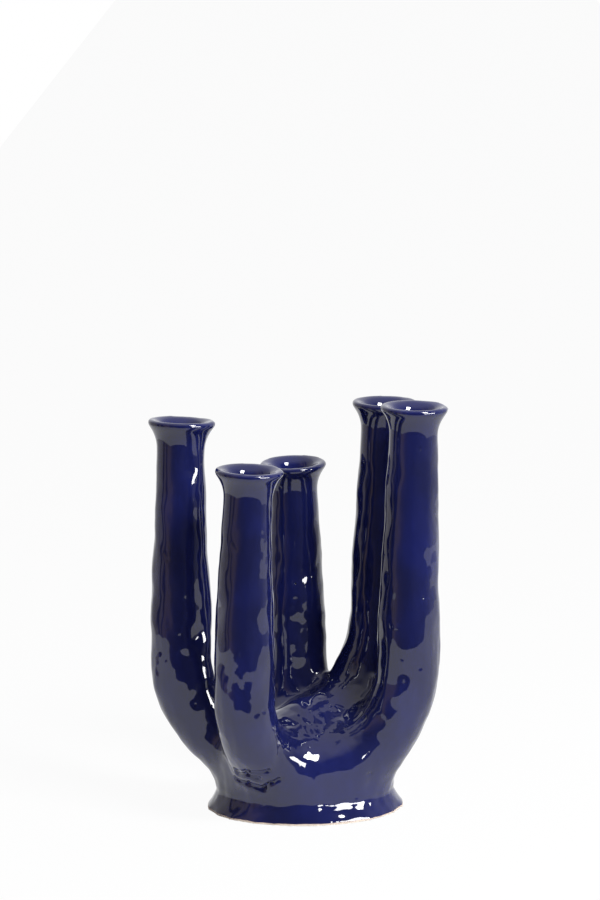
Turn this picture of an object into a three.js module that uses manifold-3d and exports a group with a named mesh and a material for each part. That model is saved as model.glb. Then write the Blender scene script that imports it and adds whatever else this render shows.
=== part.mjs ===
// A hand-built vase of glazed ceramic. Five tubes with flared lips stand like raised fingers on the
// sockets of a hollow body, which is drawn in to a flared oval foot. Millimetres, +Z up.
//
// The pieces are those of the clay before it is fired: a foot ring with the floor slab laid in it,
// a bowl, five sockets that bend up and out from it with the palm laid between them, and five
// tubes, each luted to its socket.
import * as THREE from "three";
import { LoftGeometry } from "three/addons/geometries/LoftGeometry.js";
import { mergeVertices } from "three/addons/utils/BufferGeometryUtils.js";
import Module from "manifold-3d";

const wasm = await Module();
wasm.setup();

// Clay
const WALL = 5; // thickness of every wall
const SLIP_GAP = 0.3; // room for slip round the floor slab and in the upright seams
const BLEND = 8; // how softly neighbouring forms are worked into one

// Foot, an oval skirt with a ledge inside for the floor slab
const FOOT_HALF_WIDTH = 72.5;
const FOOT_HALF_DEPTH = 57.2;
const FOOT_TURN = 8; // degrees that the oval is turned, its right end to the back
const WAIST_HALF_WIDTH = 62.5;
const WAIST_HALF_DEPTH = 50;
const WAIST_HEIGHT = 17; // the seam between foot and bowl lies in the waist
const FLARE_POWER = 1.5; // how late the skirt flares
const LEDGE_WIDTH = 5;
const LEDGE_HEIGHT = 4;
const FLOOR_THICKNESS = 6;

// Body: above its widest height the belly rounds over to the palm between the tubes
const BELLY_HEIGHT = 36;
const BELLY_RISE = 27;
const BOWL_TOP = 50; // the seam between the bowl and the sockets
const PALM_REACH = 34; // from the hub to the corners of the palm, one on each upright seam

// Sockets: each springs from the belly and bends up to its seat, where its tube stands on it
const SEAT_HEIGHT = 132;
const HUB_RADIUS = 12; // the sockets are slimmer where they meet in the middle
const HUB_REACH = 45; // and have their own radius from here on

// Tubes
const NECK_RADIUS = 17.2; // where the tube is thinnest, under the lip
const LIP_RADIUS = 24.7;
const CREST_RADIUS = 22;
const LIP_EDGE = 3; // height of the rounded edge of the lip
const LIP_HEIGHT = 22; // from the neck to the crest
const FUNNEL_DEPTH = 18; // from the crest down to the bore

// Each arm's seat on its socket, the height at which the socket springs from the belly, how far its
// bend reaches out and up, the middle of the crest of its lip, how far the lip leans sideways for
// each millimetre up, and the outer radius of its socket
const ARMS = [
  {
    name: "left",
    seat: [-90.3, 6],
    spring: 38,
    bend: [69.4, 68],
    lip: [-89.2, 8, 284.5],
    lean: [0.035, 0.05],
    radius: 22,
  },
  {
    name: "front_left",
    seat: [-43.4, -56],
    spring: 42,
    bend: [48.6, 48.6],
    lip: [-39.7, -56, 260.5],
    lean: [0.04, 0],
    radius: 22,
  },
  {
    name: "back",
    seat: [-7.3, 59],
    spring: 46,
    bend: [40, 46],
    lip: [-9.3, 59, 244.2],
    lean: [-0.03, -0.04],
    radius: 21.7,
  },
  {
    name: "back_right",
    seat: [54.4, 42],
    spring: 65,
    bend: [60, 67],
    lip: [58.3, 42, 292.5],
    lean: [0.02, 0],
    radius: 22,
  },
  {
    name: "right",
    seat: [74, -18],
    spring: 39,
    bend: [54, 79],
    lip: [77.5, -18, 299.5],
    lean: [0.02, 0],
    radius: 22.6,
  },
];

// Fineness of the surfaces
const CELL = 9; // grid on which the body is skinned
const MARGIN = 12; // clay beyond the ends of the body before it is cut
const SLOPE_STEP = 0.05; // step over which the slope of a surface is felt
const PULLS = 4; // times that a point of the skin is drawn onto its surface
const OVAL_SIDES = 48;
const TUBE_SIDES = 24;
const TUBE_STEPS = 4; // rings along each stretch of a tube's outline

const GLAZE = { color: "#20235c", roughness: 0.08, metalness: 0 };
const BARE_CLAY = { color: "#e2d2ba", roughness: 0.85, metalness: 0 };

// Distances, negative inside the form

// An oval column, or where z is above 0 the half ellipsoid on top of it
function ovalDistance(x, y, z, halfWidth, halfDepth, rise) {
  const scaled = Math.hypot(x / halfWidth, y / halfDepth, z / rise);
  const slope = Math.hypot(x / halfWidth ** 2, y / halfDepth ** 2, z / rise ** 2);
  return slope > 0 ? (scaled * (scaled - 1)) / slope : -rise;
}

const TURN = THREE.MathUtils.degToRad(FOOT_TURN);

// The belly, with the skirt that flares out below its waist
function bellyDistance(x, y, z) {
  const flare = THREE.MathUtils.clamp(1 - z / WAIST_HEIGHT, 0, 1) ** FLARE_POWER;
  const halfWidth = THREE.MathUtils.lerp(WAIST_HALF_WIDTH, FOOT_HALF_WIDTH, flare);
  const halfDepth = THREE.MathUtils.lerp(WAIST_HALF_DEPTH, FOOT_HALF_DEPTH, flare);
  const across = x * Math.cos(TURN) + y * Math.sin(TURN);
  const back = y * Math.cos(TURN) - x * Math.sin(TURN);
  return ovalDistance(across, back, Math.max(0, z - BELLY_HEIGHT), halfWidth, halfDepth, BELLY_RISE);
}

// A socket, round a centreline in the upright plane through the hub and its seat
function socketDistance(arm, x, y, z) {
  const reach = Math.hypot(...arm.seat);
  const along = (x * arm.seat[0] + y * arm.seat[1]) / reach;
  const across = (x * arm.seat[1] - y * arm.seat[0]) / reach;
  const out = arm.bend[0];
  const up = Math.min(arm.bend[1], SEAT_HEIGHT - arm.spring);
  const height = z - arm.spring - up;
  let aside;
  if (height > 0) aside = along - reach;
  else if (along > reach - out) aside = ovalDistance(along - reach + out, height, 0, out, up, 1);
  else aside = Math.hypot(Math.min(0, along), z - arm.spring);
  const fullness = THREE.MathUtils.smoothstep(along, 0, HUB_REACH);
  return Math.hypot(aside, across) - THREE.MathUtils.lerp(HUB_RADIUS, arm.radius, fullness);
}

// The whole body as one worked surface, a soft union of the belly and the sockets
function bodyDistance(x, y, z) {
  const forms = [bellyDistance(x, y, z), ...ARMS.map((arm) => socketDistance(arm, x, y, z))];
  const nearness = forms.reduce((sum, distance) => sum + Math.exp(-distance / BLEND), 0);
  return -BLEND * Math.log(nearness);
}

const cavityDistance = (x, y, z) => bodyDistance(x, y, z) + WALL;

// Solids

const UP = new THREE.Vector3(0, 0, 1);

function solidOf(points, triangles) {
  const vertProperties = Float32Array.from(points);
  const triVerts = Uint32Array.from(triangles);
  return new wasm.Manifold(new wasm.Mesh({ numProp: 3, vertProperties, triVerts }));
}

// A ring of points in the plane across a direction, which is close to upright
function ring(centre, direction, halfWidth, halfDepth, sides) {
  const right = new THREE.Vector3(0, 1, 0).cross(direction).normalize();
  const back = direction.clone().cross(right);
  return Array.from({ length: sides }, (_, side) => {
    const angle = (side / sides) * 2 * Math.PI;
    return centre
      .clone()
      .addScaledVector(right, halfWidth * Math.cos(angle))
      .addScaledVector(back, halfDepth * Math.sin(angle));
  });
}

// An upright oval plate from one height to another
function plate(halfWidth, halfDepth, from, to) {
  const rings = [from, to].map((height) =>
    ring(new THREE.Vector3(0, 0, height), UP, halfWidth, halfDepth, OVAL_SIDES),
  );
  const geometry = bare(new LoftGeometry(rings, { capStart: true, capEnd: true }));
  geometry.rotateZ(TURN);
  return solidOf(geometry.attributes.position.array, geometry.index.array);
}

// The bare mesh, with one vertex at each point
function bare(geometry) {
  const copy = new THREE.BufferGeometry().copy(geometry);
  copy.deleteAttribute("normal");
  copy.deleteAttribute("uv");
  return mergeVertices(copy);
}

// Lines of a grid through every stop, no further than a cell apart
function gridLines(...stops) {
  const lines = [stops[0]];
  for (let stop = 1; stop < stops.length; stop++) {
    const [low, high] = [stops[stop - 1], stops[stop]];
    const steps = Math.ceil((high - low) / CELL);
    for (let step = 1; step <= steps; step++) lines.push(low + ((high - low) * step) / steps);
  }
  return lines;
}

// Draws a point onto the surface where the field is zero
function drawOnto(field, point) {
  for (let pull = 0; pull < PULLS; pull++) {
    const slope = point.map((_, axis) => {
      const [ahead, behind] = [[...point], [...point]];
      ahead[axis] += SLOPE_STEP;
      behind[axis] -= SLOPE_STEP;
      return (field(...ahead) - field(...behind)) / (2 * SLOPE_STEP);
    });
    const share = field(...point) / Math.hypot(...slope) ** 2;
    slope.forEach((rise, axis) => (point[axis] -= share * rise));
  }
}

// The four cells round a grid edge become the corners of a quad, cut along its shorter diagonal
function quadTriangles(points, [a, b, c, d]) {
  const span = (one, other) => Math.hypot(...points[one].map((value, axis) => value - points[other][axis]));
  return span(a, c) < span(b, d) ? [a, b, c, a, c, d] : [b, c, d, b, d, a];
}

// Where the corners of a grid square are in and out by turns, two sheets of skin would share an
// edge there, so the air corner nearer the surface counts as clay
function joinPinches(values, strides) {
  const squares = strides.map((_, axis) => [strides[(axis + 1) % 3], strides[(axis + 2) % 3]]);
  let pinches;
  do {
    pinches = 0;
    for (const [u, v] of squares) {
      for (let at = 0; at + u + v < values.length; at++) {
        const pairs = [[at, at + u + v], [at + u, at + v]];
        const air = pairs.find((pair) => pair.every((corner) => values[corner] >= 0));
        const clay = pairs.find((pair) => pair.every((corner) => values[corner] < 0));
        if (!air || !clay) continue;
        const nearer = values[air[0]] < values[air[1]] ? air[0] : air[1];
        values[nearer] = -Math.max(values[nearer], SLOPE_STEP);
        pinches++;
      }
    }
  } while (pinches > 0);
}

// Skins a field with a point in every grid cell that its surface crosses, and a quad round every
// grid edge that it crosses. The border of the grid counts as air, which closes the skin.
function skin(field, lines) {
  const counts = lines.map((line) => line.length);
  const strides = [1, counts[0], counts[0] * counts[1]];
  const stepsAt = (at) => strides.map((stride, axis) => Math.floor(at / stride) % counts[axis]);
  const placeAt = (at) => stepsAt(at).map((step, axis) => lines[axis][step]);
  const values = Array.from({ length: strides[2] * counts[2] }, (_, at) => {
    const isBorder = stepsAt(at).some((step, axis) => step === 0 || step === counts[axis] - 1);
    return isBorder ? CELL : field(...placeAt(at));
  });
  joinPinches(values, strides);

  const cells = new Map();
  const quads = [];
  for (let axis = 0; axis < 3; axis++) {
    const [u, v] = [strides[(axis + 1) % 3], strides[(axis + 2) % 3]];
    for (let at = 0; at + strides[axis] < values.length; at++) {
      const [here, next] = [values[at], values[at + strides[axis]]];
      if (here < 0 === next < 0) continue;
      const crossing = placeAt(at);
      crossing[axis] += ((placeAt(at + strides[axis])[axis] - crossing[axis]) * here) / (here - next);
      const round = [at - u - v, at - v, at, at - u];
      for (const cell of round) {
        if (!cells.has(cell)) cells.set(cell, []);
        cells.get(cell).push(crossing);
      }
      quads.push(here < 0 ? round : round.reverse());
    }
  }

  const points = [];
  const pointOf = new Map();
  for (const [cell, crossings] of cells) {
    const point = [0, 1, 2].map((axis) => {
      return crossings.reduce((sum, crossing) => sum + crossing[axis], 0) / crossings.length;
    });
    const layer = stepsAt(cell)[2];
    if (layer > 0 && layer < counts[2] - 2) drawOnto(field, point);
    pointOf.set(cell, points.length);
    points.push(point);
  }
  const triangles = quads.flatMap((quad) => quadTriangles(points, quad.map((cell) => pointOf.get(cell))));
  return solidOf(points.flat(), triangles);
}

// Body pieces

const REACH = [0, 1].map((axis) => {
  const reaches = ARMS.map((arm) => Math.abs(arm.seat[axis]) + arm.radius);
  return Math.max(...reaches, FOOT_HALF_WIDTH) + MARGIN;
});
const LINES = [
  gridLines(-REACH[0], REACH[0]),
  gridLines(-REACH[1], REACH[1]),
  gridLines(-MARGIN, 0, WAIST_HEIGHT, BOWL_TOP, SEAT_HEIGHT, SEAT_HEIGHT + MARGIN),
];

const cut = (solid, from, to) => solid.intersect(plate(2 * REACH[0], 2 * REACH[0], from, to));

// The directions of the seams on either side of an arm, halfway to its neighbours
function seamsOf(arm) {
  const angleOf = ({ seat }) => Math.atan2(seat[1], seat[0]);
  const turns = ARMS.filter((other) => other !== arm).map((other) => {
    return THREE.MathUtils.euclideanModulo(angleOf(other) - angleOf(arm), 2 * Math.PI);
  });
  return [angleOf(arm) + Math.max(...turns) / 2 - Math.PI, angleOf(arm) + Math.min(...turns) / 2];
}

const polar = (length, angle) => new THREE.Vector2(length, 0).rotateAround(new THREE.Vector2(), angle);

// An upright prism over an outline, taller than the body
function prism(corners) {
  const settings = { depth: SEAT_HEIGHT + 2 * MARGIN, bevelEnabled: false };
  const geometry = bare(new THREE.ExtrudeGeometry(new THREE.Shape(corners), settings));
  geometry.translate(0, 0, -MARGIN);
  return solidOf(geometry.attributes.position.array, geometry.index.array);
}

// The wedge of space round an arm, up to its seams less half the gap for slip
function wedge(arm) {
  const [from, to] = seamsOf(arm);
  const middle = (from + to) / 2;
  const apex = polar(SLIP_GAP / 2 / Math.sin((to - from) / 2), middle);
  return prism([apex, ...[from, middle, to].map((angle) => polar(2 * REACH[0], angle).add(apex))]);
}

// The space of the palm, a prism with a corner on every seam
function palmSpace(reach) {
  const seams = ARMS.map((arm) => THREE.MathUtils.euclideanModulo(seamsOf(arm)[0], 2 * Math.PI));
  return prism(seams.sort((one, other) => one - other).map((angle) => polar(reach, angle)));
}

function bodyPieces() {
  const boreWidth = WAIST_HALF_WIDTH - WALL;
  const boreDepth = WAIST_HALF_DEPTH - WALL;
  const body = skin(bodyDistance, LINES);
  const walls = body.subtract(skin(cavityDistance, LINES));
  const wholeFoot = cut(body, 0, WAIST_HEIGHT);
  const bore = plate(boreWidth, boreDepth, LEDGE_HEIGHT, SEAT_HEIGHT);
  const recess = plate(boreWidth - LEDGE_WIDTH, boreDepth - LEDGE_WIDTH, -MARGIN, SEAT_HEIGHT);
  const floorTop = LEDGE_HEIGHT + FLOOR_THICKNESS;
  const upperWalls = cut(walls, BOWL_TOP, SEAT_HEIGHT);
  const socketWalls = upperWalls.subtract(palmSpace(PALM_REACH));
  return {
    foot_ring: wholeFoot.subtract(bore).subtract(recess),
    floor_slab: plate(boreWidth - SLIP_GAP, boreDepth - SLIP_GAP, LEDGE_HEIGHT, floorTop),
    bowl: cut(walls, WAIST_HEIGHT, BOWL_TOP),
    palm: upperWalls.intersect(palmSpace(PALM_REACH - SLIP_GAP)),
    ...Object.fromEntries(ARMS.map((arm) => [`socket_${arm.name}`, socketWalls.intersect(wedge(arm))])),
  };
}

// Tubes

// A tube's outline as radius and height over its seat: up the outside, over the lip, down the bore
function tubeOutline(radius, rise) {
  const neck = rise - LIP_HEIGHT;
  const throat = rise - FUNNEL_DEPTH;
  const bore = NECK_RADIUS - WALL;
  const path = new THREE.Path();
  path.moveTo(radius, 0);
  path.quadraticCurveTo((radius + NECK_RADIUS) / 2, neck / 2, NECK_RADIUS, neck);
  path.quadraticCurveTo(NECK_RADIUS, rise - LIP_HEIGHT / 2, LIP_RADIUS, rise - LIP_EDGE);
  path.quadraticCurveTo(LIP_RADIUS, rise, CREST_RADIUS, rise);
  path.quadraticCurveTo(bore, rise, bore, throat);
  path.quadraticCurveTo((radius - WALL + bore) / 2, throat / 2, radius - WALL, 0);
  return path.getPoints(TUBE_STEPS);
}

function tubeGeometry(arm) {
  const seat = new THREE.Vector3(...arm.seat, SEAT_HEIGHT);
  const lip = new THREE.Vector3(...arm.lip);
  const rise = lip.z - seat.z;
  const lean = new THREE.Vector3(...arm.lean, 1).multiplyScalar(rise / 3);
  const spine = new THREE.CubicBezierCurve3(
    seat,
    seat.clone().addScaledVector(UP, rise / 3),
    lip.clone().sub(lean),
    lip,
  );
  const rings = tubeOutline(arm.radius, rise).map(({ x: radius, y: height }) => {
    const along = height / rise;
    const direction = height > 0 ? spine.getTangent(along) : UP;
    return ring(spine.getPoint(along), direction, radius, radius, TUBE_SIDES);
  });
  return bare(new LoftGeometry([...rings, rings[0]]));
}

// The vase
const vase = new THREE.Group();
vase.name = "vase";

function addPiece(name, geometry, finish) {
  const piece = new THREE.Mesh(geometry, new THREE.MeshStandardMaterial(finish));
  piece.name = name;
  vase.add(piece);
}

for (const [name, solid] of Object.entries(bodyPieces())) {
  const mesh = solid.getMesh();
  const geometry = new THREE.BufferGeometry();
  geometry.setAttribute("position", new THREE.BufferAttribute(mesh.vertProperties, 3));
  geometry.setIndex(new THREE.BufferAttribute(mesh.triVerts, 1));
  addPiece(name, geometry, name === "floor_slab" ? BARE_CLAY : GLAZE);
}
for (const arm of ARMS) addPiece(`tube_${arm.name}`, tubeGeometry(arm), GLAZE);

// The origin lies on the table, under the middle of the vase
const middle = new THREE.Box3().setFromObject(vase).getCenter(new THREE.Vector3());
vase.position.set(-middle.x, -middle.y, 0);

export default vase;
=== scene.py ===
"""A hand-built ceramic vase under a deep cobalt glaze, dressed round its frame of clay pieces.

The frame's pieces are welded into one body of clay, worked smooth, dented by the fingers and then
parted again at the frame's own seams, so that the glaze runs over every seam unbroken.
"""

import math
import random

import bmesh
import bpy
from bpy.props import FloatProperty, FloatVectorProperty, IntProperty, PointerProperty
from mathutils import Euler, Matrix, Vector, noise
from mathutils.geometry import intersect_point_line
from mathutils.kdtree import KDTree


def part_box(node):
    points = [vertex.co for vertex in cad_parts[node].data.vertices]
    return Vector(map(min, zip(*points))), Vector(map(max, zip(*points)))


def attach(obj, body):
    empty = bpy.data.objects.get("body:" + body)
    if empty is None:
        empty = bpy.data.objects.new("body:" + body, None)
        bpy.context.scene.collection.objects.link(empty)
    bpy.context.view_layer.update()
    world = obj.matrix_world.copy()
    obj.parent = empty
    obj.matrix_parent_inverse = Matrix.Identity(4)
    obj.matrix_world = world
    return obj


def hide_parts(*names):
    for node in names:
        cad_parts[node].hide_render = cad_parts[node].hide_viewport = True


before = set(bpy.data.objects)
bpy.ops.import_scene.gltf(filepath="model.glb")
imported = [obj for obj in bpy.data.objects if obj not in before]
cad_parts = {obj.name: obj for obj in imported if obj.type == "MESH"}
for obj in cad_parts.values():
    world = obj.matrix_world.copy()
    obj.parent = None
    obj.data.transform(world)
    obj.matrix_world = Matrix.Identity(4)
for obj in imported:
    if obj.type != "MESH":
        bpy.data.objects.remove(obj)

bl_info = {
    "name": "Hand-built Tube Vase",
    "version": (1, 0, 0),
    "blender": (4, 5, 0),
    "location": "3D View > Sidebar > Vase",
    "description": "Works a glazed ceramic vase over its frame of clay pieces",
    "category": "Add Mesh",
}

MM = 0.001
WELD = 1e-6  # metres within which two points of a frame piece are one
ARMS = ("left", "front_left", "back", "back_right", "right")
CLAY = "worked_clay"  # the welded body, which lasts until every piece is parted from it
NORMAL = "clay_normal"  # its normals, which its pieces keep across their seams
HIDDEN = "seam_face"  # 1 on the faces inside the walls, where two pieces meet


def linear(code):
    """An sRGB hex colour as linear red, green, blue and alpha."""
    channels = [int(code[start : start + 2], 16) / 255 for start in (1, 3, 5)]
    return [c / 12.92 if c <= 0.04045 else ((c + 0.055) / 1.055) ** 2.4 for c in channels] + [1.0]


def colour(name, description, code):
    """A colour setting with its default from an sRGB hex code."""
    return FloatVectorProperty(
        name=name, description=description, default=linear(code), subtype="COLOR", size=4, min=0, max=1
    )


def length(name, description, millimetres):
    """A length setting with its default in millimetres."""
    default = millimetres * MM
    return FloatProperty(
        name=name, description=description, default=default, subtype="DISTANCE", unit="LENGTH", min=0
    )


def turn(name, description, degrees):
    """An angle setting with its default in degrees."""
    default = math.radians(degrees)
    return FloatProperty(name=name, description=description, default=default, subtype="ANGLE")


def wattage(name, description, watts):
    """A setting for the power of a light with its default in watts."""
    return FloatProperty(name=name, description=description, default=watts, unit="POWER", min=0)


class ClaySizes(bpy.types.PropertyGroup):
    """How the clay is worked."""

    grain: length("Grain", "Size of the cells that the clay is welded in", 1.1)
    slip: length("Slip", "How far each piece swells to fill its seams", 0.2)
    softening: IntProperty(name="Softening", description="Rounds of smoothing by the fingers", default=36)
    foot_edge: length("Foot edge", "Height up to which the foot keeps its edges", 5)
    dent_depth: length("Dent depth", "Height of the broad dents", 0.9)
    dent_width: length("Dent width", "Distance between broad dents", 42)
    flute_depth: length("Flute depth", "Height of the strokes that are drawn upwards", 0.5)
    flute_width: length("Flute width", "Distance between drawn strokes", 18)
    press_depth: length("Press depth", "Height of the finger presses", 0.16)
    press_width: length("Press width", "Distance between finger presses", 10)
    crease_depth: length("Crease depth", "Height of the creases in the palm", 0.4)
    crease_width: length("Crease width", "Distance between creases in the palm", 19)
    lip_relief: FloatProperty(
        name="Lip relief",
        description="Share of the relief that stays at the lips",
        default=0.15,
        subtype="FACTOR",
    )
    heel_depth: length("Heel depth", "Depth of the crease where the foot meets the bowl", 0.35)
    heel_height: length("Heel height", "Height of the crease where the foot meets the bowl", 14)
    pits: IntProperty(name="Pits", description="Number of small pits strewn over the clay", default=60)
    pit_width: length("Pit width", "Greatest half width of a pit", 1.6)
    pit_depth: length("Pit depth", "Greatest depth of a pit", 0.4)


class FinishColours(bpy.types.PropertyGroup):
    """The glaze and the bare clay."""

    glaze: colour("Glaze", "Cobalt glaze where it lies thick", "#161a43")
    thin_glaze: colour("Thin glaze", "Cobalt glaze where it runs thin", "#191f58")
    # painted shade: the near-black colour inside a pinhole stands in for the shade that falls in the hole
    pinhole_shade: colour("Pinhole", "Inside of a pinhole in the glaze", "#0a0a16")
    clay: colour("Bare clay", "Fired clay without glaze", "#ece1d2")
    scorch: colour("Scorched clay", "Clay flushed by the edge of the glaze", "#bf9a86")
    bare_height: length("Bare height", "Height of the unglazed edge of the foot", 1.5)
    ripple: length("Ripple", "Distance between the fine ripples in the glaze", 5)


class StudioSizes(bpy.types.PropertyGroup):
    """Camera, table and lights."""

    camera_distance: length("Camera distance", "From the vase to the camera, over the table", 2614.7)
    camera_left: length("Camera left", "How far the camera stands to the left of the vase", 4.02)
    camera_height: length("Camera height", "Height of the camera over the table", 748.4)
    camera_pitch: turn("Camera pitch", "How far the camera looks down", 10.5)
    camera_lens: FloatProperty(
        name="Lens", description="Focal length in millimetres", default=148, unit="CAMERA"
    )
    table_front: length("Table front", "From the vase to the front edge of the table", 440)
    table_left: length("Table left", "From the vase to the left edge of the table", 600)
    table_right: length("Table right", "From the vase to the right edge of the table", 950)
    table_back: length("Table back", "From the vase to the back edge of the table", 12000)
    window_distance: length("Window distance", "From the vase to the window", 1500)
    window_width: length("Window width", "Width of the window", 640)
    window_height: length("Window height", "Height of the window", 410)
    window_middle: length("Window middle", "Height of the window's middle over the table", 416)
    window_side: turn("Window side", "Turn of the window to the right of the camera", 45)
    window_power: wattage("Window power", "Light of the window", 15.5)
    pane_side: turn("Pane side", "Turn of the narrow pane to the right of the camera", 65)
    pane_width: length("Pane width", "Width of the narrow pane", 420)
    pane_power: wattage("Pane power", "Light of the narrow pane", 11.5)
    softbox_distance: length("Softbox distance", "From the vase to the softbox", 1500)
    softbox_width: length("Softbox width", "Width of the softbox", 420)
    softbox_side: turn("Softbox side", "Turn of the softbox to the right of the camera", 45)
    softbox_rise: turn("Softbox rise", "Height of the softbox over the table as an angle", 51)
    softbox_power: wattage("Softbox power", "Light of the softbox", 22)


def settings(name):
    """One of the groups of settings, kept on the scene."""
    return getattr(bpy.context.scene, name)


def heights():
    """The heights of the seams: foot to bowl, bowl to sockets, and sockets to tubes."""
    low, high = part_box("bowl")
    return low.z, high.z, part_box("tube_left")[0].z


def hub():
    """The upright axis of the vase, as a point on the table under the middle of the foot."""
    low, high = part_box("foot_ring")
    return Vector(((low.x + high.x) / 2, (low.y + high.y) / 2, 0))


def ring_middle(arm, height):
    """The middle of the points of a tube that lie at a height."""
    points = [vertex.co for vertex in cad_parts[f"tube_{arm}"].data.vertices]
    ring = [point for point in points if abs(point.z - height) < WELD]
    return sum(ring, Vector()) / len(ring)


def seats():
    """The middle of each tube where it stands on its socket."""
    return {arm: ring_middle(arm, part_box(f"tube_{arm}")[0].z) for arm in ARMS}


def lips():
    """The middle of each tube at the top of its lip."""
    return {arm: ring_middle(arm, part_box(f"tube_{arm}")[1].z) for arm in ARMS}


def bearings():
    """The direction from the hub to each arm, as an angle round +Z."""
    middle = hub()
    return {arm: math.atan2(seat.y - middle.y, seat.x - middle.x) for arm, seat in seats().items()}


def seams(arm):
    """The directions of the upright seams on either side of an arm, halfway to its neighbours."""
    found = bearings()
    turns = [(found[other] - found[arm]) % math.tau for other in ARMS if other != arm]
    return found[arm] + max(turns) / 2 - math.pi, found[arm] + min(turns) / 2


def bearing(angle):
    """A level unit vector in a direction round +Z."""
    return Vector((math.cos(angle), math.sin(angle), 0))


def mesh_of(bm, name):
    """A new mesh that holds a bmesh, which is freed."""
    mesh = bpy.data.meshes.new(name)
    bm.to_mesh(mesh)
    bm.free()
    return mesh


def modified(mesh, kind, weights=None, **values):
    """A mesh after one modifier with its settings; the old mesh is removed. Weights are one share for
    each vertex, from 0 to 1, of how far the modifier goes."""
    name = mesh.name
    maker = bpy.data.objects.new(name, mesh)
    bpy.context.scene.collection.objects.link(maker)
    modifier = maker.modifiers.new(kind.title(), kind)
    for setting, value in values.items():
        setattr(modifier, setting, value)
    if weights:
        group = maker.vertex_groups.new(name="weights")
        for index, weight in enumerate(weights):
            group.add([index], weight, "REPLACE")
        modifier.vertex_group = group.name
    graph = bpy.context.evaluated_depsgraph_get()
    result = bpy.data.meshes.new_from_object(
        maker.evaluated_get(graph), preserve_all_data_layers=True, depsgraph=graph
    )
    bpy.data.objects.remove(maker)
    bpy.data.meshes.remove(mesh)
    result.name = name
    return result


def frame_piece(name):
    """A closed copy of one piece of the frame, with its triangles paired into quads again."""
    bm = bmesh.new()
    bm.from_mesh(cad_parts[name].data)
    bmesh.ops.remove_doubles(bm, verts=bm.verts, dist=WELD)
    widest = math.radians(60)
    bmesh.ops.join_triangles(
        bm, faces=bm.faces, angle_face_threshold=widest, angle_shape_threshold=widest
    )
    return bm


def rounded_tube(name):
    """A tube of the frame with its facets rounded, but its seat on the socket kept flat and sharp."""
    bm = frame_piece(name)
    floor = min(vertex.co.z for vertex in bm.verts)
    crease = bm.edges.layers.float.get("crease_edge") or bm.edges.layers.float.new("crease_edge")
    for edge in bm.edges:
        if all(vertex.co.z < floor + WELD for vertex in edge.verts):
            edge[crease] = 1.0
    return modified(mesh_of(bm, name), "SUBSURF", levels=2, render_levels=2)


def welded_clay():
    """Every wall of the frame as one closed skin."""
    sizes = settings("vase_clay")
    whole = bmesh.new()
    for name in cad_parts:
        if name == "floor_slab":
            continue
        if name.startswith("tube"):
            mesh = rounded_tube(name)
        else:
            mesh = mesh_of(frame_piece(name), name)
        bm = bmesh.new()
        bm.from_mesh(mesh)
        bm.normal_update()
        for vertex in bm.verts:
            vertex.co += vertex.normal * sizes.slip
        bm.to_mesh(mesh)
        bm.free()
        whole.from_mesh(mesh)
        bpy.data.meshes.remove(mesh)
    return modified(mesh_of(whole, CLAY), "REMESH", mode="VOXEL", voxel_size=sizes.grain, adaptivity=0)


def fade(value, low, high):
    """A smooth step from 0 at low to 1 at high."""
    share = min(1.0, max(0.0, (value - low) / (high - low)))
    return share * share * (3 - 2 * share)


def softened(mesh):
    """The clay smoothed, most on the body and least at the lips and the foot's edge."""
    sizes = settings("vase_clay")
    seat = heights()[2]
    lip_room = 25 * MM
    least = 0.2
    shares = []
    for vertex in mesh.vertices:
        height = vertex.co.z
        body = fade(height, 0, sizes.foot_edge) * (1 - fade(height, seat, seat + lip_room))
        shares.append(least + (1 - least) * body)
    return modified(mesh, "SMOOTH", shares, factor=0.5, iterations=sizes.softening)


SEED_SHIFT = (1, 2.3, 3.7)  # where the next seed's noise lies, in its own cells
CELLS = 2  # cells of noise from one bump to the next
CELLS_ROUND = 1.5  # cells of noise from the middle of an arm's root to its side
NEARNESS = 6  # how much the nearest arm outweighs the others
CREASE_GAIN = 3  # how much the creases are raised over the noise, which is seldom far from 0
CREASE_REST = 0.6  # how far the creases lie under the palm between them
STEEP_SHARE = 0.4  # how much of the creases is left where the palm is steep

# How far the relief reaches
LIP_CALM = 30 * MM  # round the middle of a lip it is calm up to here
LIP_FREE = 55 * MM  # and full from here
PALM_FULL = 38 * MM  # round the hub the palm's creases are full up to here
PALM_END = 62 * MM  # and gone from here
PALM_START = 4 * MM  # they start this far under the top of the bowl
PALM_RISE = 8 * MM  # and are full this far over it
PALM_DROP = 30 * MM  # and fade out from this far under the seats of the tubes
FOOT_CALM = 1 * MM  # the foot is flat up to this height
FOOT_FREE = 12 * MM  # and has all of the relief from this height
HEEL_REACH = 3 * MM  # half the width of the crease over the foot
HEEL_WANDER = 1.5 * MM  # how far that crease wanders up and down
HEEL_WANDER_WIDTH = 20 * MM  # and over what distance


def wave(point, width, seed, stretch):
    """Smooth noise from -1 to 1 whose bumps are about a width apart, and drawn out upwards."""
    drawn = Vector((point.x, point.y, point.z / stretch))
    return noise.noise(drawn * (CELLS / width) + Vector([part * seed for part in SEED_SHIFT]))


def stroke(point, roots, width, seed):
    """Smooth noise from -1 to 1 whose ridges run round the nearest arm, as a finger draws them when it
    closes the joint at an arm's root."""
    total = 0
    weights = 0
    for root in roots:
        away = Vector((point.x - root.x, point.y - root.y, 0))
        reach = away.length
        side = away / reach * CELLS_ROUND
        weight = (width / reach) ** NEARNESS
        cell = Vector((reach * CELLS / width + seed, side.x, side.y + point.z / width))
        total += weight * noise.noise(cell)
        weights += weight
    return total / weights


def palm_share(point, middle, bowl_top, seat):
    """How far a point lies in the palm between the arms, from 0 to 1."""
    inside = 1 - fade(math.hypot(point.x - middle.x, point.y - middle.y), PALM_FULL, PALM_END)
    over = fade(point.z, bowl_top - PALM_START, bowl_top + PALM_RISE)
    under = 1 - fade(point.z, seat - PALM_DROP, seat)
    return inside * (over * under)


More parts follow.
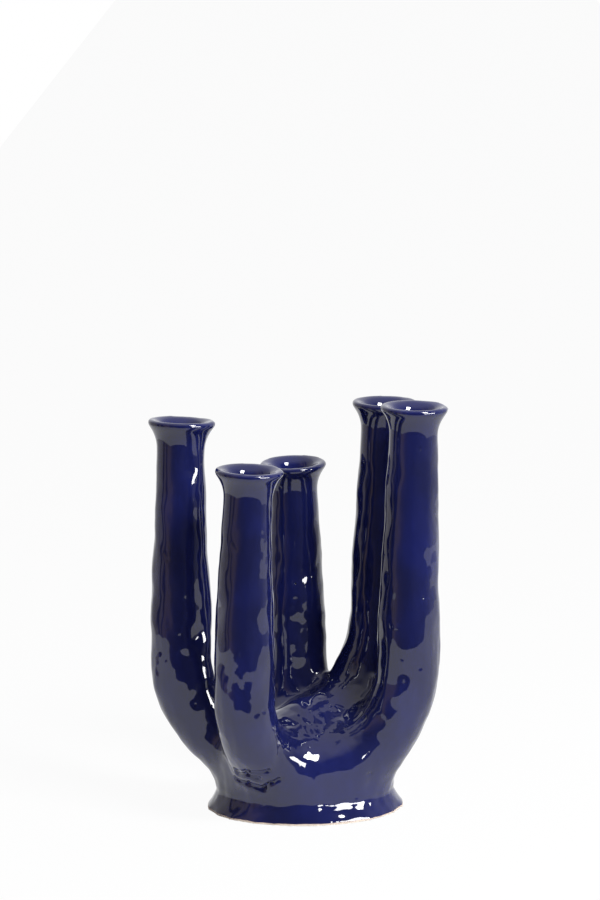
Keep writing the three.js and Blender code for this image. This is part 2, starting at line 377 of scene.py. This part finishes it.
def heel(point, height):
    """How far a point lies in the wandering crease over the foot, from 0 to 1."""
    wander = HEEL_WANDER * wave(point, HEEL_WANDER_WIDTH, seed=6, stretch=1)
    return 1 - fade(abs(point.z - height - wander), 0, HEEL_REACH)


def dent(mesh):
    """Presses the marks of the hands all over the clay."""
    sizes = settings("vase_clay")
    middle = hub()
    bowl_top, seat = heights()[1:]
    roots = list(seats().values())
    tops = list(lips().values())
    normals = [vertex.normal.copy() for vertex in mesh.vertices]
    for vertex, normal in zip(mesh.vertices, normals):
        point = vertex.co
        depth = sizes.dent_depth * wave(point, sizes.dent_width, seed=1, stretch=1.3)
        depth += sizes.flute_depth * wave(point, sizes.flute_width, seed=3, stretch=2.2)
        depth += sizes.press_depth * wave(point, sizes.press_width, seed=2, stretch=1.6)
        palm = palm_share(point, middle, bowl_top, seat)
        if palm > 0:
            crease = abs(stroke(point, roots, sizes.crease_width, seed=5)) * CREASE_GAIN - CREASE_REST
            level = STEEP_SHARE + (1 - STEEP_SHARE) * max(0.0, normal.z)
            depth += palm * sizes.crease_depth * crease * level
        depth *= fade(point.z, FOOT_CALM, FOOT_FREE)
        depth -= sizes.heel_depth * heel(point, sizes.heel_height)
        if point.z > seat:
            near = min((point - top).length for top in tops)
            depth *= sizes.lip_relief + (1 - sizes.lip_relief) * fade(near, LIP_CALM, LIP_FREE)
        vertex.co = point + normal * depth
    mesh.update()


# Marks that the hands left, in millimetres from the hub: where each starts and ends, how far it
# reaches to its sides, and how far it rises, or sinks where that is negative
MARKS = (
    # wrinkles where the front left arm was pressed onto the foot
    ((-49, -51, 41), (-41, -60, 42), 1.8, -2.6),
    ((-41, -60, 42), (-27, -61, 42), 1.6, -2.2),
    ((-49, -48, 37), (-42, -57, 38), 1.6, -2.2),
    ((-42, -57, 38), (-34, -57, 36), 1.8, -2.6),
    ((-50, -41, 31), (-42, -48, 29), 1.8, -2.2),
    ((-42, -48, 29), (-31, -52, 26), 2.2, -2.8),
    ((-30, -52, 26), (-25, -55, 31), 1.8, -2.4),
    ((-25, -55, 31), (-19, -56, 34), 1.5, -2.0),
    # pits
    ((-30, -73, 90), (-29, -73, 89), 1.1, -0.6),
    ((44, -38, 34), (47, -37, 34), 1.0, -0.6),
    ((36, -41, 17), (39, -41, 17), 1.2, -0.6),
    ((48, -35, 62), (44, -33, 60), 1.2, -0.6),
    ((43, -28, 73), (41, -26, 69), 1.2, -0.6),
    # ridges of slip pushed up beside the right arm
    ((48, -27, 86), (43, -25, 76), 1.3, 0.7),
    ((42, -25, 73), (30, -26, 64), 1.3, 0.7),
    # touches on the tubes
    ((66, -38, 142), (64, -38, 142), 1.6, 0.4),
    ((-101, -11, 189), (-99, -12, 186), 1.4, -0.4),
    ((-52, -71, 209), (-50, -72, 206), 1.6, -0.4),
    ((-3, 41, 170), (4, 42, 170), 4.0, 0.5),
    ((-85, -11, 240), (-85, -11, 238), 6.0, 0.9),
    ((-84, -11, 257), (-84, -11, 255), 6.0, -1.1),
    # the flat place under the palm between the roots of the front arms
    ((36, -40, 58), (36, -40, 46), 13.0, 2.6),
    ((-10, -50, 56), (-8, -49, 44), 13.0, -2.0),
    # the elbow of the left arm
    ((-74, -12, 92), (-70, -10, 84), 12.0, 3.4),
    ((-72, -6, 124), (-65, -3, 92), 5.0, 1.6),
    ((-78, -11, 132), (-78, -11, 130), 6.5, -1.6),
    ((-76, -10, 110), (-74, -8, 100), 6.0, 1.5),
    # fuller and leaner stretches of the outline
    ((-108, -4, 88), (-86, -7, 47), 9.0, 1.0),
    ((-110, 4, 182), (-110, -3, 139), 8.0, 0.6),
    ((-70, 0, 175), (-68, 0, 125), 7.0, 0.7),
    ((-62, -65, 160), (-62, -67, 125), 6.0, -0.6),
    ((14, 51, 112), (16, 45, 98), 7.0, 1.2),
    ((27, 38, 105), (22, 36, 95), 6.0, 1.0),
    ((97, -16, 205), (98, -16, 130), 8.0, 0.5),
    # the edge of the foot at the front
    ((8, -56, 1), (50, -40, 1), 4.0, 0.5),
)
PIT_SEED = 11
LEAST_PIT = 0.5  # size of the least of the strewn pits, as a share of the greatest
SPREAD = 2  # a mark is gone at this many times its reach


def mark(mesh):
    """Presses single marks in the clay: those listed, and small pits strewn all over it."""
    sizes = settings("vase_clay")
    middle = hub()
    marks = []
    for start, end, reach, height in MARKS:
        marks.append((middle + Vector(start) * MM, middle + Vector(end) * MM, reach * MM, height * MM))
    draw = random.Random(PIT_SEED)
    for index in draw.sample(range(len(mesh.vertices)), sizes.pits):
        point = mesh.vertices[index].co.copy()
        size = draw.uniform(LEAST_PIT, 1)
        marks.append((point, point, size * sizes.pit_width, -size * sizes.pit_depth))
    tree = KDTree(len(mesh.vertices))
    for vertex in mesh.vertices:
        tree.insert(vertex.co, vertex.index)
    tree.balance()
    normals = [vertex.normal.copy() for vertex in mesh.vertices]
    for start, end, reach, height in marks:
        half = (end - start).length / 2
        for point, index, _ in tree.find_range((start + end) / 2, half + SPREAD * reach):
            nearest = start
            if half:
                nearest, share = intersect_point_line(point, start, end)
                nearest = start.lerp(end, min(1, max(0, share)))
            away = (point - nearest).length / (SPREAD * reach)
            mesh.vertices[index].co += normals[index] * height * (1 - fade(away, 0, 1))
    mesh.update()


class VASE_OT_clay(bpy.types.Operator):
    """Weld the frame's pieces into one body of clay and work it smooth"""

    bl_idname = "vase.clay"
    bl_label = "Clay"

    def execute(self, context):
        mesh = softened(welded_clay())
        dent(mesh)
        mark(mesh)
        keep = mesh.attributes.new(NORMAL, "FLOAT_VECTOR", "POINT")
        keep.data.foreach_set("vector", [part for vertex in mesh.vertices for part in vertex.normal])
        return {"FINISHED"}


def parted(name, cuts):
    """Puts the part of the worked clay behind every cut, closed with flat faces, in the place of one
    frame piece. A cut is a point and the direction that is taken away."""
    bm = bmesh.new()
    bm.from_mesh(bpy.data.meshes[CLAY])
    hidden = bm.faces.layers.int.new(HIDDEN)
    for point, direction in cuts:
        everything = bm.verts[:] + bm.edges[:] + bm.faces[:]
        cut = bmesh.ops.bisect_plane(
            bm, geom=everything, dist=WELD, plane_co=point, plane_no=direction, clear_outer=True
        )
        edges = [part for part in cut["geom_cut"] if isinstance(part, bmesh.types.BMEdge)]
        filled = bmesh.ops.triangle_fill(bm, edges=edges, use_beauty=True, normal=direction)
        for part in filled["geom"]:
            if isinstance(part, bmesh.types.BMFace):
                part[hidden] = 1
    normals = bm.verts.layers.float_vector[NORMAL]
    custom = []
    for face in bm.faces:
        face.smooth = True
        face.material_index = face[hidden]
        for corner in face.loops:
            custom.append(face.normal.copy() if face[hidden] else corner.vert[normals].normalized())
    if not bm.faces:
        raise RuntimeError(f"{name}: nothing of the clay lies behind its cuts")
    mesh = mesh_of(bm, name)
    mesh.normals_split_custom_set(custom)
    mesh.attributes.remove(mesh.attributes[NORMAL])
    mesh.attributes.remove(mesh.attributes[HIDDEN])
    mesh.materials.append(cobalt_glaze())
    mesh.materials.append(bare_clay())
    piece = bpy.data.objects.new(f"{name}_piece", mesh)
    bpy.context.scene.collection.objects.link(piece)
    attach(piece, "root")
    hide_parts(name)


def below(height):
    """A cut that takes away what lies over a height."""
    return Vector((0, 0, height)), Vector((0, 0, 1))


def above(height):
    """A cut that takes away what lies under a height."""
    return Vector((0, 0, height)), Vector((0, 0, -1))


def beside(arm):
    """The two cuts along the upright seams of an arm."""
    first, second = seams(arm)
    quarter = math.pi / 2
    return [(hub(), bearing(first - quarter)), (hub(), bearing(second + quarter))]


def palm_side(arm):
    """A point of the flat seam between the palm and an arm, and the direction out to the arm."""
    middle = hub()
    points = [vertex.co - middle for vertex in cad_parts["palm"].data.vertices]
    reach = max(math.hypot(point.x, point.y) for point in points)
    first, second = seams(arm)
    start = middle + bearing(first) * reach
    along = bearing(second) * reach - bearing(first) * reach
    return start, Vector((along.y, -along.x, 0)).normalized()


class VASE_OT_foot_ring(bpy.types.Operator):
    """Part the flared foot ring from the clay"""

    bl_idname = "vase.foot_ring"
    bl_label = "Foot Ring"

    def execute(self, context):
        parted("foot_ring", [above(0), below(heights()[0])])
        return {"FINISHED"}


class VASE_OT_floor_slab(bpy.types.Operator):
    """Finish the bare slab that closes the bottom"""

    bl_idname = "vase.floor_slab"
    bl_label = "Floor Slab"

    def execute(self, context):
        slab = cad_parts["floor_slab"].data
        slab.materials.clear()
        slab.materials.append(bare_clay())
        return {"FINISHED"}


class VASE_OT_bowl(bpy.types.Operator):
    """Part the bowl of the belly from the clay"""

    bl_idname = "vase.bowl"
    bl_label = "Bowl"

    def execute(self, context):
        waist, bowl_top = heights()[:2]
        parted("bowl", [above(waist), below(bowl_top)])
        return {"FINISHED"}


class VASE_OT_palm(bpy.types.Operator):
    """Part the palm between the sockets from the clay"""

    bl_idname = "vase.palm"
    bl_label = "Palm"

    def execute(self, context):
        bowl_top, seat = heights()[1:]
        parted("palm", [above(bowl_top), below(seat), *[palm_side(arm) for arm in ARMS]])
        return {"FINISHED"}


class VASE_OT_sockets(bpy.types.Operator):
    """Part the five bent sockets from the clay"""

    bl_idname = "vase.sockets"
    bl_label = "Sockets"

    def execute(self, context):
        bowl_top, seat = heights()[1:]
        for arm in ARMS:
            point, outward = palm_side(arm)
            cuts = [above(bowl_top), below(seat), *beside(arm), (point, -outward)]
            parted(f"socket_{arm}", cuts)
        return {"FINISHED"}


class VASE_OT_tubes(bpy.types.Operator):
    """Part the five tubes with their flared lips from the clay"""

    bl_idname = "vase.tubes"
    bl_label = "Tubes"

    def execute(self, context):
        for arm in ARMS:
            parted(f"tube_{arm}", [above(heights()[2]), *beside(arm)])
        return {"FINISHED"}


def add_node(tree, kind, values=None, links=None, **properties):
    """A shader node with its properties, its input values and the sockets that feed its inputs."""
    made = tree.nodes.new(kind)
    for name, value in properties.items():
        setattr(made, name, value)
    for name, value in (values or {}).items():
        made.inputs[name].default_value = value
    for name, socket in (links or {}).items():
        tree.links.new(socket, made.inputs[name])
    return made


def empty_material(name):
    """A material with nothing in its tree, or the one of that name that is already made."""
    if name in bpy.data.materials:
        return bpy.data.materials[name], None
    material = bpy.data.materials.new(name)
    material.use_nodes = True
    material.node_tree.nodes.clear()
    return material, material.node_tree


CLAY_ROUGHNESS = 0.85
GLAZE_ROUGHNESS = 0.035
CLAY_IOR = 1.5
GLAZE_IOR = 1.62  # a little over window glass, as thick glossy glazes are


def clay_colour(tree, place):
    """Fired clay: fine specks of grog in an even cream."""
    finish = settings("vase_finish")
    speck_size = 0.7 * MM
    specks = add_node(
        tree, "ShaderNodeTexNoise", {"Scale": 1 / speck_size, "Detail": 3}, {"Vector": place}
    )
    share = add_node(
        tree,
        "ShaderNodeMapRange",
        {"From Min": 0.58, "From Max": 0.75, "To Max": 0.5},
        {"Value": specks.outputs["Fac"]},
    )
    mixed = add_node(
        tree,
        "ShaderNodeMix",
        {"A": finish.clay, "B": finish.scorch},
        {"Factor": share.outputs["Result"]},
        data_type="RGBA",
    )
    return mixed.outputs["Result"], specks.outputs["Fac"]


def bare_clay():
    """Unglazed cream stoneware, sponged smooth and fired dry: matt, with a faint tooth."""
    material, tree = empty_material("bare cream stoneware")
    if not tree:
        return material
    place = add_node(tree, "ShaderNodeTexCoord").outputs["Object"]
    body, specks = clay_colour(tree, place)
    tooth = 0.1 * MM
    bump = add_node(tree, "ShaderNodeBump", {"Strength": 0.4, "Distance": tooth}, {"Height": specks})
    shader = add_node(
        tree,
        "ShaderNodeBsdfPrincipled",
        {"Roughness": CLAY_ROUGHNESS, "IOR": CLAY_IOR},
        {"Base Color": body, "Normal": bump.outputs["Normal"]},
    )
    add_node(tree, "ShaderNodeOutputMaterial", None, {"Surface": shader.outputs["BSDF"]})
    return material


def pinholes(tree, place):
    """1 in a pinhole of the glaze and 0 between them. A pinhole lies in about one in four cells, which
    are 22 mm apart."""
    cell_size = 22 * MM
    radius = 0.45 * MM / cell_size
    empty_share = 0.75
    cells = add_node(tree, "ShaderNodeTexVoronoi", {"Scale": 1 / cell_size}, {"Vector": place})
    holes = add_node(
        tree,
        "ShaderNodeMapRange",
        {"From Min": radius, "From Max": 2 * radius, "To Min": 1, "To Max": 0},
        {"Value": cells.outputs["Distance"]},
    )
    lot = add_node(tree, "ShaderNodeSeparateColor", None, {"Color": cells.outputs["Color"]})
    drawn = add_node(
        tree, "ShaderNodeMath", {1: empty_share}, {0: lot.outputs["Red"]}, operation="GREATER_THAN"
    )
    kept = add_node(
        tree,
        "ShaderNodeMath",
        None,
        {0: holes.outputs["Result"], 1: drawn.outputs["Value"]},
        operation="MULTIPLY",
    )
    return kept.outputs["Value"]


def glaze_colour(tree, place, holes):
    """Cobalt glass that is bluer where it runs thin, with painted shade darkening its pinholes."""
    finish = settings("vase_finish")
    cloud_size = 45 * MM
    clouds = add_node(
        tree, "ShaderNodeTexNoise", {"Scale": 1 / cloud_size, "Detail": 2}, {"Vector": place}
    )
    thinness = add_node(
        tree, "ShaderNodeMapRange", {"From Min": 0.35, "From Max": 0.65}, {"Value": clouds.outputs["Fac"]}
    )
    glass = add_node(
        tree,
        "ShaderNodeMix",
        {"A": finish.glaze, "B": finish.thin_glaze},
        {"Factor": thinness.outputs["Result"]},
        data_type="RGBA",
    )
    # painted shade: the pinholes are coloured near black for the shade inside them
    shaded_glass = add_node(
        tree,
        "ShaderNodeMix",
        {"B": finish.pinhole_shade},
        {"Factor": holes, "A": glass.outputs["Result"]},
        data_type="RGBA",
    )
    return shaded_glass.outputs["Result"]


def glaze_relief(tree, place, holes):
    """The normal of the glaze: faint ripples where it flowed, and sunk pinholes."""
    ripple_size = settings("vase_finish").ripple
    ripple_depth = 0.03 * MM
    hole_depth = 0.4 * MM
    ripple = add_node(
        tree, "ShaderNodeTexNoise", {"Scale": 1 / ripple_size, "Detail": 1}, {"Vector": place}
    )
    rippled = add_node(
        tree, "ShaderNodeBump", {"Distance": ripple_depth}, {"Height": ripple.outputs["Fac"]}
    )
    sunk = add_node(
        tree,
        "ShaderNodeBump",
        {"Distance": hole_depth},
        {"Height": holes, "Normal": rippled.outputs["Normal"]},
        invert=True,
    )
    return sunk.outputs["Normal"]


def glaze_edge(tree, place):
    """How far the foot is covered by the glaze, and how far its clay is flushed by it. The line between
    wanders by about a millimetre."""
    wander_size = 14 * MM
    wander_height = 2.0 * MM
    blur = 0.1 * MM
    flush_width = 0.9 * MM
    line = settings("vase_finish").bare_height - wander_height / 2
    wander = add_node(
        tree, "ShaderNodeTexNoise", {"Scale": 1 / wander_size, "Detail": 3}, {"Vector": place}
    )
    height = add_node(tree, "ShaderNodeSeparateXYZ", None, {"Vector": place})
    lowered = add_node(
        tree,
        "ShaderNodeMath",
        {1: -wander_height},
        {0: wander.outputs["Fac"], 2: height.outputs["Z"]},
        operation="MULTIPLY_ADD",
    )
    covered = add_node(
        tree,
        "ShaderNodeMapRange",
        {"From Min": line - blur, "From Max": line + blur},
        {"Value": lowered.outputs["Value"]},
    )
    flushed = add_node(
        tree,
        "ShaderNodeMapRange",
        {"From Min": line - flush_width, "From Max": line, "To Max": 0.7},
        {"Value": lowered.outputs["Value"]},
    )
    return covered.outputs["Result"], flushed.outputs["Result"]


def cobalt_glaze():
    """Deep cobalt glaze over cream stoneware, dipped and fired glossy: near black where it lies thick,
    bluer where it thins, with a few pinholes, and wiped off the edge that the foot stands on."""
    material, tree = empty_material("cobalt glaze on stoneware")
    if not tree:
        return material
    place = add_node(tree, "ShaderNodeTexCoord").outputs["Object"]
    holes = pinholes(tree, place)
    covered, flushed = glaze_edge(tree, place)
    scorched = add_node(
        tree,
        "ShaderNodeMix",
        {"B": settings("vase_finish").scorch},
        {"Factor": flushed, "A": clay_colour(tree, place)[0]},
        data_type="RGBA",
    )
    surface = add_node(
        tree,
        "ShaderNodeMix",
        None,
        {"Factor": covered, "A": scorched.outputs["Result"], "B": glaze_colour(tree, place, holes)},
        data_type="RGBA",
    )
    roughness = add_node(
        tree,
        "ShaderNodeMapRange",
        {"To Min": CLAY_ROUGHNESS, "To Max": GLAZE_ROUGHNESS},
        {"Value": covered},
    )
    shader = add_node(
        tree,
        "ShaderNodeBsdfPrincipled",
        {"IOR": GLAZE_IOR},
        {
            "Base Color": surface.outputs["Result"],
            "Roughness": roughness.outputs["Result"],
            "Normal": glaze_relief(tree, place, holes),
        },
    )
    add_node(tree, "ShaderNodeOutputMaterial", None, {"Surface": shader.outputs["BSDF"]})
    return material


TABLE_GLOW = 0.95  # how much of the white that is seen doesn't fade in the vase's shadow
TABLE_WHITE = [0.85, 0.85, 0.85, 1]
WHITE = [1, 1, 1, 1]


def table_material():
    """White laminate table, which the camera and the glaze see as white, with the vase's soft shadow."""
    material, tree = empty_material("white table")
    if not tree:
        return material
    paths = add_node(tree, "ShaderNodeLightPath").outputs
    seen = add_node(
        tree,
        "ShaderNodeMath",
        None,
        {0: paths["Is Camera Ray"], 1: paths["Is Glossy Ray"]},
        operation="MAXIMUM",
    )
    clear = add_node(
        tree,
        "ShaderNodeMath",
        None,
        {0: seen.outputs["Value"], 1: paths["Is Transmission Ray"]},
        operation="MAXIMUM",
    )
    share = add_node(
        tree, "ShaderNodeMath", {1: TABLE_GLOW}, {0: clear.outputs["Value"]}, operation="MULTIPLY"
    )
    lit = add_node(tree, "ShaderNodeBsdfDiffuse", {"Color": TABLE_WHITE})
    glow = add_node(tree, "ShaderNodeEmission", {"Color": WHITE, "Strength": 1.0})
    mixed = add_node(
        tree,
        "ShaderNodeMixShader",
        None,
        {0: share.outputs["Value"], 1: lit.outputs["BSDF"], 2: glow.outputs["Emission"]},
    )
    add_node(tree, "ShaderNodeOutputMaterial", None, {"Surface": mixed.outputs["Shader"]})
    return material


# The room round the vase, as shares of a full turn from behind it, over the left, the front and the
# right, with the colour that lies that way
ROOM = (
    (0.000, "#ffffff"),
    (0.090, "#ffffff"),
    (0.115, "#d4d2d3"),
    (0.200, "#c4c0c0"),
    (0.240, "#b8b0ac"),
    (0.248, "#55504e"),
    (0.262, "#4c4644"),
    (0.272, "#b0a49c"),
    (0.292, "#a89888"),
    (0.300, "#58504a"),
    (0.312, "#504842"),
    (0.322, "#ac9880"),
    (0.362, "#a08c76"),
    (0.385, "#6c625c"),
    (0.420, "#4c4a50"),
    (0.500, "#3c3c44"),
    (0.570, "#54545c"),
    (0.660, "#66666e"),
    (0.710, "#8c8c94"),
    (0.760, "#b8b8c0"),
    (0.820, "#d0d0d6"),
    (0.900, "#e0e0e4"),
    (0.930, "#f4f4f5"),
    (1.000, "#fafafa"),
)
OVERHEAD = "#dedce2"  # a pale ceiling
OVERHEAD_START = 0.6  # how far up a direction points, from 0 to 1, where the ceiling starts
OVERHEAD_FULL = 0.9
AMBIENT = "#828288"  # what lights matt surfaces from all sides


def room_colour(tree):
    """The colour of the room in each direction."""
    way = add_node(tree, "ShaderNodeTexCoord").outputs["Generated"]
    parts = add_node(tree, "ShaderNodeSeparateXYZ", None, {"Vector": way}).outputs
    forward = add_node(tree, "ShaderNodeMath", {1: -1}, {0: parts["Y"]}, operation="MULTIPLY")
    azimuth = add_node(
        tree, "ShaderNodeMath", None, {0: parts["X"], 1: forward.outputs["Value"]}, operation="ARCTAN2"
    )
    share = add_node(
        tree,
        "ShaderNodeMapRange",
        {"From Min": -math.pi, "From Max": math.pi},
        {"Value": azimuth.outputs["Value"]},
    )
    ramp = add_node(tree, "ShaderNodeValToRGB", None, {"Fac": share.outputs["Result"]})
    stops = ramp.color_ramp.elements
    while len(stops) > 1:
        stops.remove(stops[0])
    first_place, first_code = ROOM[0]
    stops[0].position = first_place
    stops[0].color = linear(first_code)
    for place, code in ROOM[1:]:
        stops.new(place).color = linear(code)
    overhead = add_node(
        tree,
        "ShaderNodeMapRange",
        {"From Min": OVERHEAD_START, "From Max": OVERHEAD_FULL},
        {"Value": parts["Z"]},
    )
    room = add_node(
        tree,
        "ShaderNodeMix",
        {"B": linear(OVERHEAD)},
        {"Factor": overhead.outputs["Result"], "A": ramp.outputs["Color"]},
        data_type="RGBA",
    )
    return room.outputs["Result"]


def studio_world():
    """A plain studio: a white sweep behind the vase, a darker room on the camera's side, and an even,
    dim light on matt surfaces."""
    world = bpy.data.worlds.new("studio")
    world.use_nodes = True
    tree = world.node_tree
    tree.nodes.clear()
    studio = add_node(tree, "ShaderNodeBackground", None, {"Color": room_colour(tree)})
    ambient = add_node(tree, "ShaderNodeBackground", {"Color": linear(AMBIENT)})
    backdrop = add_node(tree, "ShaderNodeBackground", {"Color": WHITE})
    paths = add_node(tree, "ShaderNodeLightPath").outputs
    shaded = add_node(
        tree,
        "ShaderNodeMixShader",
        None,
        {0: paths["Is Diffuse Ray"], 1: studio.outputs["Background"], 2: ambient.outputs["Background"]},
    )
    mixed = add_node(
        tree,
        "ShaderNodeMixShader",
        None,
        {0: paths["Is Camera Ray"], 1: shaded.outputs["Shader"], 2: backdrop.outputs["Background"]},
    )
    add_node(tree, "ShaderNodeOutputWorld", None, {"Surface": mixed.outputs["Shader"]})
    return world


def toward(side, rise=0.0):
    """The direction to something that is turned to the right of the camera and raised by two angles."""
    level = Vector((math.sin(side), -math.cos(side), 0))
    return level * math.cos(rise) + Vector((0, 0, math.sin(rise)))


def hung_light(name, power, size, aim, way, distance):
    """A rectangular light of a width and height, which shines back along a way on its aim."""
    light = bpy.data.lights.new(name, "AREA")
    light.shape = "RECTANGLE"
    light.size = size[0]
    light.size_y = size[1]
    light.energy = power
    holder = bpy.data.objects.new(name, light)
    holder.location = aim + way * distance
    holder.rotation_euler = way.to_track_quat("Z", "Y").to_euler()
    bpy.context.scene.collection.objects.link(holder)
    return holder


def set_table(sizes, middle):
    """The table under the vase."""
    bm = bmesh.new()
    bmesh.ops.create_grid(bm, x_segments=1, y_segments=1, size=1)
    for vertex in bm.verts:
        vertex.co.x = middle.x + (sizes.table_right if vertex.co.x > 0 else -sizes.table_left)
        vertex.co.y = middle.y + (sizes.table_back if vertex.co.y > 0 else -sizes.table_front)
    table = bpy.data.objects.new("table", mesh_of(bm, "table"))
    table.data.materials.append(table_material())
    bpy.context.scene.collection.objects.link(table)


def set_windows(sizes, middle):
    """The window and the narrow pane beside it, which the glaze mirrors."""
    aim = middle + Vector((0, 0, sizes.window_middle))
    panes = (
        ("window", sizes.window_side, sizes.window_width, sizes.window_power),
        ("narrow pane", sizes.pane_side, sizes.pane_width, sizes.pane_power),
    )
    for name, side, width, power in panes:
        size = (width, sizes.window_height)
        window = hung_light(name, power, size, aim, toward(side), sizes.window_distance)
        window.visible_diffuse = False


def set_softbox(sizes, middle):
    """The square softbox over the camera's right."""
    size = (sizes.softbox_width, sizes.softbox_width)
    way = toward(sizes.softbox_side, sizes.softbox_rise)
    hung_light("softbox", sizes.softbox_power, size, middle, way, sizes.softbox_distance)


def set_camera(sizes, middle):
    """The camera, held upright, which looks down on the vase."""
    camera = bpy.data.cameras.new("camera")
    camera.sensor_fit = "VERTICAL"
    camera.sensor_height = 36
    camera.lens = sizes.camera_lens
    camera.clip_end = 20
    eye = bpy.data.objects.new("camera", camera)
    eye.location = middle + Vector((-sizes.camera_left, -sizes.camera_distance, sizes.camera_height))
    eye.rotation_euler = Euler((math.pi / 2 - sizes.camera_pitch, 0, 0))
    bpy.context.scene.collection.objects.link(eye)
    bpy.context.scene.camera = eye


class VASE_OT_stage(bpy.types.Operator):
    """Set the table, the windows, the softbox, the room and the camera"""

    bl_idname = "vase.stage"
    bl_label = "Stage"

    def execute(self, context):
        sizes = settings("vase_studio")
        middle = hub()
        set_table(sizes, middle)
        set_windows(sizes, middle)
        set_softbox(sizes, middle)
        context.scene.world = studio_world()
        set_camera(sizes, middle)
        context.scene.view_settings.view_transform = "Standard"
        return {"FINISHED"}


class VASE_PT_panel(bpy.types.Panel):
    """The steps that make the vase, and their settings"""

    bl_idname = "VASE_PT_panel"
    bl_label = "Tube Vase"
    bl_space_type = "VIEW_3D"
    bl_region_type = "UI"
    bl_category = "Vase"

    def draw(self, context):
        for operator in OPERATORS:
            self.layout.operator(operator.bl_idname)
        for name, group in GROUPS.items():
            box = self.layout.box()
            for setting in group.__annotations__:
                box.prop(getattr(context.scene, name), setting)


GROUPS = {"vase_clay": ClaySizes, "vase_finish": FinishColours, "vase_studio": StudioSizes}
OPERATORS = (
    VASE_OT_clay,
    VASE_OT_foot_ring,
    VASE_OT_floor_slab,
    VASE_OT_bowl,
    VASE_OT_palm,
    VASE_OT_sockets,
    VASE_OT_tubes,
    VASE_OT_stage,
)


def register():
    for kind in (*GROUPS.values(), *OPERATORS, VASE_PT_panel):
        bpy.utils.register_class(kind)
    for name, group in GROUPS.items():
        setattr(bpy.types.Scene, name, PointerProperty(type=group))


def unregister():
    for name in GROUPS:
        delattr(bpy.types.Scene, name)
    for kind in reversed((*GROUPS.values(), *OPERATORS, VASE_PT_panel)):
        bpy.utils.unregister_class(kind)


def main():
    register()
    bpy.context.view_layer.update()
    bpy.ops.vase.stage()
    bpy.ops.vase.clay()
    bpy.ops.vase.foot_ring()
    bpy.ops.vase.floor_slab()
    bpy.ops.vase.bowl()
    bpy.ops.vase.palm()
    bpy.ops.vase.sockets()
    bpy.ops.vase.tubes()
    bpy.data.meshes.remove(bpy.data.meshes[CLAY])


if __name__ == "__main__":
    main()
